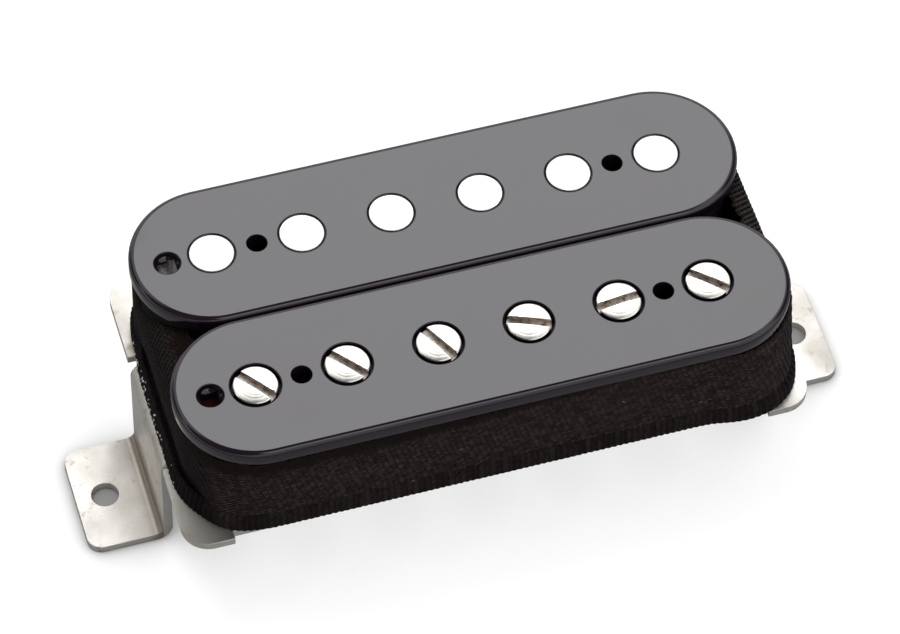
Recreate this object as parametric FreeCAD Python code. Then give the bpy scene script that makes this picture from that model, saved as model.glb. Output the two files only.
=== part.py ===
import FreeCAD, Part
import math
import os

from FreeCAD import Vector

# Two-coil guitar pickup with open bobbins, six slugs and six adjustable pole screws.
# Millimetres. The origin is the centre of the plane that the two feet rest on, X runs along
# the rows of poles, Y points from the screw row to the slug row, and Z points to the strings.

# String layout
string_count = 6
string_pitch = 9.8
row_spacing = 17.5

# Bobbins, the same mould for both rows apart from the pole holes
bobbin_gap = 0.12
bobbin_height = 10.2
top_flange_thickness = 1.9
top_flange_overhang = 5.15
bottom_flange_thickness = 1.2
bottom_flange_inset = 0.65
top_edge_chamfer = 0.42
core_end_margin = 3.6
core_width = 6.9

# Winding window in the top flange, and the wire slots in the bottom flange
window_offset = 1.2
window_radius = 1.47
window_depth = 1.1
window_square = 2.0
wire_slot_width = 1.2
wire_slot_depth = 2.4
wire_slot_spread = 5.0

# Windings
winding_gap = 0.03

# Baseplate, bent from one sheet
sheet_thickness = 1.0
plate_end_margin = 1.15
plate_side_margin = 0.4
plate_corner_radius = 3.0
side_recess_depth = 0.9
lobe_length = 5.1
leg_drop = 13.6
leg_width = 13.0
bend_inner_radius = 1.0
relief_width = 0.95
foot_reach = 8.15
foot_corner_radius = 1.6
foot_hole_radius = 1.5
foot_hole_reach = 4.9
screw_clearance_radius = 2.1
cable_hole_radius = 2.6
cable_hole_past_slug_x = 2.5
cable_hole_past_slug_y = 3.8

# Slugs
slug_radius = 2.375
slug_fit = 0.06
slug_end_gap = 0.4

# Pole screws, each with its slot turned to its own angle
head_radius = 2.3
head_height = 2.0
crown_height = 0.45
crown_flat_radius = 1.1
crown_above_bobbin = 0.2
shank_radius = 1.59
shank_length = 19.0
thread_fit = 0.06
counterbore_gap = 0.38
screw_travel_down = 0.5
seat_clearance = 0.03
slot_width = 0.9
slot_depth = 0.95
slot_angles = (-52.0, -50.0, -62.0, -22.0, 6.0, -43.0)

# Magnet, keeper and spacer, which share one thickness under the bobbins
magnet_thickness = 3.2
magnet_end_inset = 1.5
magnet_side_gap = 0.06
keeper_width = 5.6
keeper_end_margin = 6.0
spacer_width = 5.0
spacer_end_margin = 2.0
spacer_slug_gap = 0.1
spacer_cable_gap = 1.9

# Screws from below that hold the bobbins
fixing_hole_radius = 1.1
fixing_fit = 0.04
fixing_passage_radius = 1.3
base_screw_length = 8.2
base_screw_head_radius = 2.2
base_screw_head_height = 1.3

# Cloth tape round both bobbins
tape_gap = 0.05
tape_thickness = 0.45
base_tape_gap = 0.03
base_tape_thickness = 0.4
base_tape_height = 2.6

# Shared by all cuts, so that each one runs past the face that it opens
overrun = 1.0

# Two points or levels closer than this are taken as the same
same_place = 0.002

# Levels, from the floor under the feet up to the bobbins' top faces
foot_top = sheet_thickness
plate_top = foot_top + leg_drop
plate_bottom = plate_top - sheet_thickness
bobbin_floor = plate_top + magnet_thickness
bottom_flange_top = bobbin_floor + bottom_flange_thickness
bobbin_top = bobbin_floor + bobbin_height
top_flange_bottom = bobbin_top - top_flange_thickness
winding_height = top_flange_bottom - bottom_flange_top
head_bottom = bobbin_top + crown_above_bobbin - head_height
counterbore_floor = head_bottom - screw_travel_down - seat_clearance

# Places along X and Y
slug_row_y = row_spacing / 2
screw_row_y = -row_spacing / 2
end_pole_x = (string_count - 1) * string_pitch / 2
fixing_x = end_pole_x - string_pitch / 2

# Half sizes that mating pieces share
core_half_width = core_width / 2
core_half_length = end_pole_x + core_end_margin
flange_half_width = (row_spacing - bobbin_gap) / 2
flange_half_length = core_half_length + top_flange_overhang
lower_half_length = flange_half_length - bottom_flange_inset
lower_half_width = flange_half_width - bottom_flange_inset
plate_end_x = flange_half_length + plate_end_margin
plate_side_y = slug_row_y + flange_half_width + plate_side_margin
window_x = -(core_half_length + window_offset)
cable_hole_x = end_pole_x + cable_hole_past_slug_x
cable_hole_y = slug_row_y + cable_hole_past_slug_y

# Winding thickness that fills the space between the core and the lower flange's edge
coil_thickness = lower_half_width - core_half_width - 2 * winding_gap

# Holes that follow what passes through them
slug_hole_radius = slug_radius + slug_fit
shank_hole_radius = shank_radius + thread_fit


def pole_places():
    """X of each string, from one end of the row to the other."""
    return [index * string_pitch - end_pole_x for index in range(string_count)]


def fixing_places():
    """X and Y of the four screws that come up from below."""
    return [(side * fixing_x, row_y) for row_y in (screw_row_y, slug_row_y) for side in (-1, 1)]


def arc(centre, radius, start_angle, end_angle, across, up):
    """Arc edge in the plane of the unit vectors across and up, with angles in degrees."""
    points = []
    for angle in (start_angle, (start_angle + end_angle) / 2, end_angle):
        turn = math.radians(angle)
        points.append(centre + across * (radius * math.cos(turn)) + up * (radius * math.sin(turn)))
    return Part.Arc(*points).toShape()


def joined_outline(pieces):
    """Closed wire of the given edges in order, with straight runs put between them."""
    edges = []
    for index, piece in enumerate(pieces):
        following = pieces[(index + 1) % len(pieces)]
        edges.append(piece)
        end = piece.lastVertex(True).Point
        start = following.firstVertex(True).Point
        if not end.isEqual(start, same_place):
            edges.append(Part.makeLine(end, start))
    return Part.Wire(edges)


def rounded_outline(half_length, half_width, radius, z, y=0):
    """Level rectangle with round corners, or with round ends where radius equals half_width."""
    corners = []
    for index, (side_x, side_y) in enumerate(((1, 1), (-1, 1), (-1, -1), (1, -1))):
        centre = Vector(side_x * (half_length - radius), y + side_y * (half_width - radius), z)
        quarter = index * 90
        corners.append(arc(centre, radius, quarter, quarter + 90, Vector(1, 0, 0), Vector(0, 1, 0)))
    return joined_outline(corners)


def rounded_slab(half_length, half_width, radius, z, height, y=0):
    outline = rounded_outline(half_length, half_width, radius, z, y)
    return Part.Face(outline).extrude(Vector(0, 0, height))


def box(low_x, low_y, low_z, high_x, high_y, high_z):
    corner = Vector(low_x, low_y, low_z)
    return Part.makeBox(high_x - low_x, high_y - low_y, high_z - low_z, corner)


def rod(radius, low_z, high_z, x, y):
    return Part.makeCylinder(radius, high_z - low_z, Vector(x, y, low_z))


def level_edges(shape, z):
    """Edges that lie level at height z."""
    found = []
    for edge in shape.Edges:
        bounds = edge.BoundBox
        if abs(bounds.ZMin - z) < same_place and abs(bounds.ZMax - z) < same_place:
            found.append(edge)
    return found


def turned(points):
    """Solid of revolution about Z of the closed outline through points."""
    outline = Part.makePolygon(points + points[:1])
    return Part.Face(outline).revolve(Vector(0, 0, 0), Vector(0, 0, 1), 360)


def bent_leg():
    """Leg and foot at the +X end: one strip of the sheet with two bends."""
    across = Vector(1, 0, 0)
    up = Vector(0, 0, 1)
    outer_radius = bend_inner_radius + sheet_thickness
    top_bend = Vector(plate_end_x - outer_radius, -leg_width / 2, plate_top - outer_radius)
    foot_bend = Vector(plate_end_x + bend_inner_radius, -leg_width / 2, foot_top + bend_inner_radius)
    foot_end = plate_end_x + foot_reach
    outline = [
        arc(top_bend, outer_radius, 90, 0, across, up),
        arc(foot_bend, bend_inner_radius, 180, 270, across, up),
        Part.makeLine(Vector(foot_end, -leg_width / 2, foot_top), Vector(foot_end, -leg_width / 2, 0)),
        arc(foot_bend, outer_radius, 270, 180, across, up),
        arc(top_bend, bend_inner_radius, 0, 90, across, up),
    ]
    leg = Part.Face(joined_outline(outline)).extrude(Vector(0, leg_width, 0))
    corners = []
    for edge in leg.Edges:
        bounds = edge.BoundBox
        if bounds.XMin > foot_end - same_place and bounds.ZLength > sheet_thickness / 2:
            corners.append(edge)
    leg = leg.makeFillet(foot_corner_radius, corners)
    hole = rod(foot_hole_radius, -overrun, foot_top + overrun, plate_end_x + foot_hole_reach, 0)
    return leg.cut(hole)


def baseplate():
    """Flat plate with corner lobes, hollowed sides, relief notches, holes and two legs."""
    plate = rounded_slab(plate_end_x, plate_side_y, plate_corner_radius, plate_bottom, sheet_thickness)
    low = plate_bottom - overrun
    high = plate_top + overrun
    cuts = []
    for side in (-1, 1):
        near = side * (plate_side_y - side_recess_depth)
        far = side * (plate_side_y + overrun)
        cuts.append(box(lobe_length - plate_end_x, min(near, far), low,
                        plate_end_x - lobe_length, max(near, far), high))
        bend_start = side * (plate_end_x - bend_inner_radius - sheet_thickness)
        beyond = side * (plate_end_x + overrun)
        notch_half = leg_width / 2 + relief_width
        cuts.append(box(min(bend_start, beyond), -notch_half, low, max(bend_start, beyond), notch_half, high))
    for x in pole_places():
        cuts.append(rod(screw_clearance_radius, low, high, x, screw_row_y))
    for x, y in fixing_places():
        cuts.append(rod(fixing_passage_radius, low, high, x, y))
    cuts.append(rod(cable_hole_radius, low, high, cable_hole_x, cable_hole_y))
    plate = plate.cut(Part.makeCompound(cuts))
    leg = bent_leg()
    other_leg = leg.mirror(Vector(0, 0, 0), Vector(1, 0, 0))
    return plate.fuse([leg, other_leg]).removeSplitter()


def bobbin(row_y, pole_cutters):
    """Flanges and core in one moulding, cut by the row's pole holes, windows and wire slots."""
    lower = rounded_slab(lower_half_length, lower_half_width, lower_half_width,
                         bobbin_floor, bottom_flange_thickness, row_y)
    core = rounded_slab(core_half_length, core_half_width, core_half_width,
                        bobbin_floor, bobbin_height, row_y)
    upper = rounded_slab(flange_half_length, flange_half_width, flange_half_width,
                         top_flange_bottom, top_flange_thickness, row_y)
    upper = upper.makeChamfer(top_edge_chamfer, level_edges(upper, bobbin_top))
    body = lower.fuse([core, upper]).removeSplitter()

    below = bobbin_floor - overrun
    above = bobbin_top + overrun
    cuts = list(pole_cutters)
    for x, y in fixing_places():
        if y == row_y:
            cuts.append(rod(fixing_hole_radius, below, above, x, y))
    cuts.append(rod(window_radius, bobbin_top - window_depth, above, window_x, row_y))
    half_window = window_square / 2
    cuts.append(box(window_x - half_window, row_y - half_window, top_flange_bottom - overrun,
                    window_x + half_window, row_y + half_window, above))
    for side in (-1, 1):
        slot_y = row_y + side * wire_slot_spread / 2
        cuts.append(box(-lower_half_length - overrun, slot_y - wire_slot_width / 2, below,
                        -lower_half_length + wire_slot_depth, slot_y + wire_slot_width / 2,
                        bottom_flange_top + overrun))
    return body.cut(Part.makeCompound(cuts))


def slug_bobbin():
    below = bobbin_floor - overrun
    above = bobbin_top + overrun
    return bobbin(slug_row_y, [rod(slug_hole_radius, below, above, x, slug_row_y) for x in pole_places()])


def screw_bobbin():
    """Shank holes with a counterbore each, deep enough for the head at its lowest."""
    below = bobbin_floor - overrun
    above = bobbin_top + overrun
    holes = []
    for x in pole_places():
        holes.append(rod(shank_hole_radius, below, above, x, screw_row_y))
        holes.append(rod(head_radius + counterbore_gap, counterbore_floor, above, x, screw_row_y))
    return bobbin(screw_row_y, holes)


def coil(row_y):
    """Winding between the flanges, as one closed ring round the core."""
    inner_length = core_half_length + winding_gap
    inner_width = core_half_width + winding_gap
    outer = rounded_slab(inner_length + coil_thickness, inner_width + coil_thickness,
                         inner_width + coil_thickness, bottom_flange_top, winding_height, row_y)
    inner = rounded_slab(inner_length, inner_width, inner_width,
                         bottom_flange_top - overrun, winding_height + 2 * overrun, row_y)
    return outer.cut(inner)


def tape_band(offset, thickness, height):
    """Band round both bobbins that stands on the plate, its inner face the offset off the flanges."""
    inner_length = lower_half_length + offset
    inner_width = slug_row_y + lower_half_width + offset
    inner_radius = lower_half_width + offset
    outer = rounded_slab(inner_length + thickness, inner_width + thickness, inner_radius + thickness,
                         plate_top, height)
    inner = rounded_slab(inner_length, inner_width, inner_radius, plate_top - overrun, height + 2 * overrun)
    return outer.cut(inner)


def outer_tape():
    return tape_band(tape_gap, tape_thickness, top_flange_bottom - plate_top)


def base_tape():
    """Lower band of the same cloth, outside the big tape."""
    return tape_band(tape_gap + tape_thickness + base_tape_gap, base_tape_thickness, base_tape_height)


def bar_magnet():
    """Lies flat between the keeper and the slugs, and touches neither with force."""
    low_y = screw_row_y + keeper_width / 2 + magnet_side_gap
    high_y = slug_row_y - slug_radius - magnet_side_gap
    end_x = flange_half_length - magnet_end_inset
    return box(-end_x, low_y, plate_top, end_x, high_y, bobbin_floor)


def keeper_bar():
    """Steel bar that the pole screws are threaded through."""
    end_x = end_pole_x + keeper_end_margin
    bar = box(-end_x, screw_row_y - keeper_width / 2, plate_top,
              end_x, screw_row_y + keeper_width / 2, bobbin_floor)
    low = plate_top - overrun
    high = bobbin_floor + overrun
    holes = [rod(shank_hole_radius, low, high, x, screw_row_y) for x in pole_places()]
    holes += [rod(fixing_passage_radius, low, high, x, y) for x, y in fixing_places() if y == screw_row_y]
    return bar.cut(Part.makeCompound(holes))


def spacer():
    """Wooden strip outside the slugs, cut short of the cable hole."""
    low_x = -(end_pole_x + spacer_end_margin)
    high_x = cable_hole_x - cable_hole_radius - spacer_cable_gap
    low_y = slug_row_y + slug_radius + spacer_slug_gap
    return box(low_x, low_y, plate_top, high_x, low_y + spacer_width, bobbin_floor)


def slug(x):
    return rod(slug_radius, plate_top + slug_end_gap, bobbin_top, x, slug_row_y)


def pole_screw(x, slot_angle):
    """Straight shank and a crowned, slotted head, at its height in the photo."""
    crown_base = head_height - crown_height
    screw = turned([
        Vector(0, 0, -shank_length),
        Vector(shank_radius, 0, -shank_length),
        Vector(shank_radius, 0, 0),
        Vector(head_radius, 0, 0),
        Vector(head_radius, 0, crown_base),
        Vector(crown_flat_radius, 0, head_height),
        Vector(0, 0, head_height),
    ])
    slot = box(-head_radius - overrun, -slot_width / 2, head_height - slot_depth,
               head_radius + overrun, slot_width / 2, head_height + overrun)
    slot.rotate(Vector(0, 0, 0), Vector(0, 0, 1), slot_angle)
    screw = screw.cut(slot)
    screw.translate(Vector(x, screw_row_y, head_bottom))
    return screw


def base_screw(x, y):
    """Points up through the plate, with its head under it."""
    radius = fixing_hole_radius - fixing_fit
    shank = rod(radius, plate_bottom, plate_bottom + base_screw_length, x, y)
    head = rod(base_screw_head_radius, plate_bottom - base_screw_head_height, plate_bottom, x, y)
    return shank.fuse(head)


def all_nodes():
    nodes = {
        "baseplate": baseplate(),
        "slug_bobbin": slug_bobbin(),
        "screw_bobbin": screw_bobbin(),
        "slug_coil": coil(slug_row_y),
        "screw_coil": coil(screw_row_y),
        "outer_tape": outer_tape(),
        "base_tape": base_tape(),
        "bar_magnet": bar_magnet(),
        "keeper_bar": keeper_bar(),
        "spacer": spacer(),
    }
    for index, x in enumerate(pole_places()):
        number = index + 1
        nodes[f"slug_{number}"] = slug(x)
        nodes[f"pole_screw_{number}"] = pole_screw(x, slot_angles[index % len(slot_angles)])
    for index, (x, y) in enumerate(fixing_places()):
        nodes[f"base_screw_{index + 1}"] = base_screw(x, y)
    return nodes


def main():
    os.makedirs("parts", exist_ok=True)
    for name, shape in all_nodes().items():
        if not shape.isValid():
            print("not valid:", name)
        shape.exportStep(f"parts/{name}.step")
        print(name, "solids", len(shape.Solids), "volume", round(shape.Volume, 2))


main()
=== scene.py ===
import math
import random

import bmesh
import bpy
from mathutils import Matrix, Vector, noise


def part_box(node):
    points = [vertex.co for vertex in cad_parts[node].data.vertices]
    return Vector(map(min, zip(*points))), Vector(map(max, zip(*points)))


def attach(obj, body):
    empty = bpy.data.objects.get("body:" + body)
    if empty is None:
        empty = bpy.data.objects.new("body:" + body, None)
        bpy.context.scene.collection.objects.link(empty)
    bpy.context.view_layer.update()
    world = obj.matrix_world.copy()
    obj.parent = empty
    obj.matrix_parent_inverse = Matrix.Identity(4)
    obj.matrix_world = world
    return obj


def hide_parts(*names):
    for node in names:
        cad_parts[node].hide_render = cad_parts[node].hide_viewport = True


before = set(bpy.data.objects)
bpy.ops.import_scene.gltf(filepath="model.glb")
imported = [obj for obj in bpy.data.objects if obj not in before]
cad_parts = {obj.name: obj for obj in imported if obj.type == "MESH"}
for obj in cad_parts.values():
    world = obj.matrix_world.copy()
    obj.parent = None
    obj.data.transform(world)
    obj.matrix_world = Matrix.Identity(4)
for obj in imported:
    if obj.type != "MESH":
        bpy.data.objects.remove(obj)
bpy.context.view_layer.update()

# Looks of a two-coil guitar pickup. Metres and degrees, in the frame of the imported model: X runs
# along the rows of poles, Y points from the screw row to the slug row, and Z points to the strings.
# Azimuths run from -Y towards +X.

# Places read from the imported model
slug_bobbin_low, slug_bobbin_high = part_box("slug_bobbin")
screw_bobbin_low, screw_bobbin_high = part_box("screw_bobbin")
bobbin_top = slug_bobbin_high.z
bobbin_floor = slug_bobbin_low.z
bobbin_half_length = slug_bobbin_high.x
bobbin_half_width = (slug_bobbin_high.y - slug_bobbin_low.y) / 2
slug_row_y = (slug_bobbin_high.y + slug_bobbin_low.y) / 2
screw_row_y = (screw_bobbin_high.y + screw_bobbin_low.y) / 2
pole_count = 6
slug_boxes = [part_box(f"slug_{number + 1}") for number in range(pole_count)]
pole_places = [(low.x + high.x) / 2 for low, high in slug_boxes]
tape_low, tape_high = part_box("outer_tape")
tape_height = tape_high.z - tape_low.z

per_millimetre = 1000.0
edge_angle = 32.0

# Bobbin moulding
top_flange_thickness = 0.0019
bottom_flange_thickness = 0.0012
bottom_flange_inset = 0.00065
top_edge_radius = 0.00058
lower_edge_radius = 0.0003
core_half_width = 0.00345
core_end_inset = 0.00515
hole_rim = 0.0001
slug_hole_rim = 0.00019
fixing_hole_rim = 0.00005
rim_guard = 0.00003
slug_hole_radius = 0.002435
counterbore_radius = 0.00268
counterbore_depth = 0.00233
shank_hole_radius = 0.00165
fixing_hole_radius = 0.0011
window_radius = 0.0014
window_depth = 0.0007
window_square = 0.0019
window_from_core = 0.0012
window_dish = 0.00025
window_x = -(bobbin_half_length - core_end_inset + window_from_core)
cut_thread_pitch = 0.00045
cut_thread_depth = 0.00006

# Wax in the slug side's window: how far it lies below the window's floor, its lumps and its dent
window_wax_drop = 0.00015
window_wax_lumps = 0.00012
window_wax_dent = 0.0005
window_wax_thickness = 0.0003

# Baseplate: the bends between its legs and feet, where a band of painted shade lies, its wear, and edges
plate_bend_x = slug_bobbin_high.x + 0.00125
bend_shade_width = 0.0018
bend_shade_edge = 0.0001
scratch_depth = 0.000004
pit_depth = 0.000005
plate_edge = 0.0001

# Rounded edges of the pieces inside
magnet_edge = 0.00025
keeper_edge = 0.0001
spacer_edge = 0.0002

# Slugs
slug_edge = 0.00006

# Pole screws, with the slot angles seen in the photo
head_radius = 0.00235
head_height = 0.002
dome_height = 0.00012
head_edge = 0.0002
screw_slot_width = 0.0009
screw_slot_depth = 0.0007
slot_angles = (-52.0, -50.0, -62.0, -22.0, 6.0, -43.0)
slot_burr = 0.00005

# Screw threads, and how much thinner a shank is than its hole
thread_depth = 0.0003
pole_thread_pitch = 0.000635
base_thread_pitch = 0.00045
base_thread_depth = 0.0002
pole_shank_play = 0.00006
base_shank_play = 0.00004
shank_overlap = 0.0001

# Base screws, seen from below
base_head_radius = 0.0022
base_head_height = 0.0013
base_dome_height = 0.0006
base_slot_width = 0.0006
base_slot_depth = 0.0006
base_slot_angles = (20.0, -65.0, 80.0, -10.0)

# Cloth tape round both bobbins: ribs run up, and short threads cross them in rows
rib_pitch = 0.00062
row_pitch = 0.00038
row_slant = 0.28
rib_lean = 0.3
left_rib_lean = 0.5
rib_depth = 0.00007
thread_gap = 0.00008
thread_squeeze = 0.33
columns_a_rib = 5
rows_a_thread = 5
cloth_thickness = 0.0003
slack_depth = 0.0001
slack_length = 0.006
# Wax soak at the cloth's upper edge: least and most deep, and how it spreads along the tape. Over the same
# zone the colour also carries a painted shadow of the flange
soak_and_shade_least = 0.0003
soak_and_shade_most = 0.0022
soak_and_shade_spread = 0.02
hem_ragged = 0.0004
# Painted highlights on the rib crests near both ends: where they begin, their tint, and their strength at the
# left end
rib_highlights_from = 0.0300
rib_highlight_tint = (0.58, 0.72, 0.74)
left_rib_highlight = 0.4
thread_stray = (0.2, 0.15, 0)
cloth_light = (0.066, 0.048, 0.046)
cloth_dark = (0.0010, 0.0007, 0.0007)
# Dark brown of the wax soak together with the painted shadow of the flange
soaked_and_shaded_colour = (0.008, 0.005, 0.004)
lap_place = 0.1527
lap_step = 0.00022
lap_length = 0.006

# Hem that folds in between the bobbins' round ends: where it starts below the upper edge, its
# spare length, its bend radius and how far it turns
left_hem = (0.0052, 0.0016, 0.0042, 1.25)
right_hem = (0.0010, 0.0015, 0.0005, 1.55)

# Stretches where the cloth changes: where each begins and how long it is
hem_in_x = (0.030, 0.002)
hem_out_y = (0.0045, 0.004)
left_end_in_x = (0.0290, 0.003)
left_end_in_y = (-0.0155, 0.004)
left_end_out_y = (0.004, 0.005)
valley_in = (0, 0.0015)
valley_out = (0.003, 0.002)
strip_closes = (0.6, 0.4)

# Narrow strip of the same cloth round the foot of the tape. Its threads are longer than it is
# high, so no rows show on it
strip_light = (0.026, 0.0185, 0.0185)
strip_dark = (0.0015, 0.0010, 0.0010)
strip_rib_pitch = 0.00065
strip_thread_length = 0.03
strip_rib_depth = 0.00011
strip_thickness = 0.00022
strip_ragged = 0.00018
strip_flare = 0.00045
strip_valley = 0.00025
strip_closing = 0.0006

# Places where the cloth stands off: x, y, reach and how far
slack_narrowing = 0.77
slack_places = (
    (0.0318, -0.0157, 0.0105, 0.0018),
    (-0.0300, -0.0160, 0.0050, 0.0005),
)

# Loose bits on the cloth: x and z of each white fibre on the front face
lint_places = (
    (-0.0049, 0.0205),
    (-0.0100, 0.0166),
    (-0.0137, 0.0151),
    (0.0128, 0.0222),
    (0.0215, 0.0187),
)
lint_length = 0.0004
lint_radius = 0.000025
lint_lean = 0.8
lint_bow = 0.3

# Crumbs of wax at the left end: front and rear limit and densest place
wax_speck_count = 60
wax_speck_radius = 0.00011
wax_speck_spread = (-0.0115, 0.0085, 0.003)

# Winding and the black wrap round each coil
wire_pitch = 0.00014
wire_depth = 0.00005
wrap_thickness = 0.00025
core_gap = 0.00003

# Camera, found from the poles, the holes in the feet and the plate's edges
camera_aim = Vector((-0.0028216, -0.0059285, bobbin_top))
camera_azimuth = -18.408
camera_elevation = 54.277
camera_distance = 0.46829
camera_roll = 2.136
camera_lens = 180.425
sensor_width = 36.0

# Light: a soft box behind the pickup, a key light that no surface mirrors, and a white room
lamp_distance = 0.6
lamp_width = 0.162
lamp_height = 0.12
lamp_radiance = 3.62
key_azimuth = -135.0
key_elevation = 77.0
key_distance = 0.9
key_size = 0.33
key_radiance = 11.0
room_level = 1.3

# Parts of the room that the polished edges mirror: azimuth, elevation, radius, soft edge, level
room_patches = (
    (camera_azimuth + 180, 83.0, 19.0, 3.0, 0.07),
    (-60.0, 45.0, 38.0, 5.0, 0.10),
    (-129.0, 23.0, 18.0, 5.0, 0.12),
    (105.0, 28.0, 24.0, 6.0, 0.10),
    (20.0, 63.0, 11.0, 3.0, 2.3),
    (12.0, 20.0, 22.0, 8.0, 1.0),
    (0.0, -90.0, 96.0, 3.0, 1.15),
)
floor_colour = 0.32
floor_lift = 0.79
contact_reach = 0.011
foot_hole_x = 0.0393
foot_shade_radius = 0.004


def towards(azimuth, elevation):
    """Unit vector that points at a place in the room."""
    turn = math.radians(azimuth)
    rise = math.radians(elevation)
    return Vector((math.sin(turn) * math.cos(rise), -math.cos(turn) * math.cos(rise), math.sin(rise)))


def place_in_scene(name, data):
    made = bpy.data.objects.new(name, data)
    bpy.context.scene.collection.objects.link(made)
    return made


def new_object(name, bm, *materials):
    """Object with the bmesh as its mesh, smooth but for edges sharper than edge_angle."""
    bmesh.ops.recalc_face_normals(bm, faces=bm.faces)
    mesh = bpy.data.meshes.new(name)
    bm.to_mesh(mesh)
    bm.free()
    mesh.shade_smooth()
    mesh.set_sharp_from_angle(angle=math.radians(edge_angle))
    for material in materials:
        mesh.materials.append(material)
    return place_in_scene(name, mesh)


def keep_flats_flat(piece):
    modifier = piece.modifiers.new("flat_faces", "WEIGHTED_NORMAL")
    modifier.keep_sharp = True


def stand_for(piece, body, slot_name, *nodes):
    """The piece rides on the body and is shown in place of the nodes."""
    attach(piece, body)
    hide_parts(*nodes)


# Loops of vertices and the faces between them

def ring(bm, x, y, z, radius, steps=64):
    loop = []
    for step in range(steps):
        turn = 2 * math.pi * step / steps
        loop.append(bm.verts.new((x + radius * math.cos(turn), y + radius * math.sin(turn), z)))
    return loop


def square(bm, x, y, z, half):
    corners = ((1, 1), (-1, 1), (-1, -1), (1, -1))
    return [bm.verts.new((x + side_x * half, y + side_y * half, z)) for side_x, side_y in corners]


def stadium(bm, half_length, half_width, y, z, arc_steps):
    """Loop of a long shape with two round ends."""
    loop = []
    for side in (1, -1):
        for step in range(arc_steps + 1):
            turn = side * math.pi / 2 * (2 * step / arc_steps - 1)
            reach = half_length - half_width + half_width * math.cos(turn)
            loop.append(bm.verts.new((side * reach, y + half_width * math.sin(turn), z)))
    return loop


def stadiums(bm, half_length, half_width, y, levels, arc_steps=40):
    """Such a loop for each (inset, z) level."""
    return [stadium(bm, half_length - inset, half_width - inset, y, z, arc_steps) for inset, z in levels]


def join_loops(bm, loops):
    """Skin of quads over loops that have the same number of vertices."""
    for low, high in zip(loops, loops[1:]):
        for index in range(len(low)):
            following = (index + 1) % len(low)
            bm.faces.new((low[index], low[following], high[following], high[index]))


def fill_between(bm, loops):
    """Flat face inside the first loop with the other loops as its holes."""
    edges = []
    for loop in loops:
        for index, vert in enumerate(loop):
            following = loop[(index + 1) % len(loop)]
            edge = bm.edges.get((vert, following))
            edges.append(edge or bm.edges.new((vert, following)))
    bmesh.ops.triangle_fill(bm, edges=edges, use_beauty=True)


def quarter_round(radius, steps=6):
    """Inset and drop of each point round an edge, from the level face to the upright one."""
    points = []
    for step in range(steps + 1):
        turn = math.pi / 2 * step / steps
        points.append((radius * (1 - math.sin(turn)), radius * (1 - math.cos(turn))))
    return points


def closed_skin(bm, loops):
    """Skin over the loops with a flat face at both ends."""
    join_loops(bm, loops)
    bm.faces.new(loops[0])
    bm.faces.new(reversed(loops[-1]))


def lathe(bm, profile):
    """Turned piece through (radius, z) points."""
    closed_skin(bm, [ring(bm, 0, 0, z, radius) for radius, z in profile])


# Materials

def feed(tree, socket, value):
    """Gives the socket a constant, or links it where the value is a socket itself."""
    if isinstance(value, bpy.types.NodeSocket):
        tree.links.new(value, socket)
    else:
        socket.default_value = value


def add_node(tree, kind, inputs, **settings):
    """Shader node with these settings, and a constant or a link for each of these inputs."""
    node = tree.nodes.new("ShaderNode" + kind)
    for setting, value in settings.items():
        setattr(node, setting, value)
    for name, value in inputs.items():
        feed(tree, node.inputs[name], value)
    return node


def math_node(tree, operation, *values):
    return add_node(tree, "Math", dict(enumerate(values)), operation=operation).outputs["Value"]


def vector_node(tree, operation, *values, result="Vector"):
    return add_node(tree, "VectorMath", dict(enumerate(values)), operation=operation).outputs[result]


def dot_node(tree, vector, direction):
    return vector_node(tree, "DOT_PRODUCT", vector, direction, result="Value")


def place_node(tree, source="Object", stretch=(1, 1, 1)):
    """Coordinates, multiplied by stretch."""
    place = add_node(tree, "TexCoord", {}).outputs[source]
    return vector_node(tree, "MULTIPLY", place, stretch)


def noise_node(tree, place, scale, detail=4.0, roughness=0.55, result="Fac"):
    inputs = {"Vector": place, "Scale": scale, "Detail": detail, "Roughness": roughness}
    return add_node(tree, "TexNoise", inputs).outputs[result]


def spread_node(tree, value, low, high, out_low, out_high):
    """Value from low..high spread smoothly over out_low..out_high, and held there beyond."""
    inputs = {"Value": value, "From Min": low, "From Max": high, "To Min": out_low, "To Max": out_high}
    return add_node(tree, "MapRange", inputs, interpolation_type="SMOOTHSTEP").outputs["Result"]


def blend_colours(tree, value, stops):
    """Colour along the stops, each a position and a colour."""
    ramp = add_node(tree, "ValToRGB", {"Fac": value})
    while len(ramp.color_ramp.elements) < len(stops):
        ramp.color_ramp.elements.new(0.5)
    for element, (position, colour) in zip(ramp.color_ramp.elements, stops):
        element.position = position
        element.color = (*colour, 1)
    return ramp.outputs["Color"]


def mix_colours(tree, share, first, second):
    """Colour that goes from first to second with the share. Either is a colour or a socket."""
    first, second = [(*end, 1) if isinstance(end, tuple) else end for end in (first, second)]
    return add_node(tree, "Mix", {"Factor": share, 6: first, 7: second}, data_type="RGBA").outputs[2]


def mix_levels(tree, share, first, second):
    inputs = {"Factor": share, "A": first, "B": second}
    return add_node(tree, "Mix", inputs, data_type="FLOAT").outputs["Result"]


def add_bump(tree, shader, height, distance):
    """Bump of the given height in metres, laid over the bump that is already there."""
    bump = add_node(tree, "Bump", {"Height": height, "Distance": distance, "Strength": 1.0})
    before = shader.inputs["Normal"].links
    if before:
        tree.links.new(before[0].from_socket, bump.inputs["Normal"])
    tree.links.new(bump.outputs["Normal"], shader.inputs["Normal"])


def new_material(name, colour, metallic, roughness):
    material = bpy.data.materials.new(name)
    material.use_nodes = True
    shader = material.node_tree.nodes["Principled BSDF"]
    for name, value in (("Base Color", (*colour, 1)), ("Metallic", metallic), ("Roughness", roughness)):
        shader.inputs[name].default_value = value
    return material, material.node_tree, shader


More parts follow.
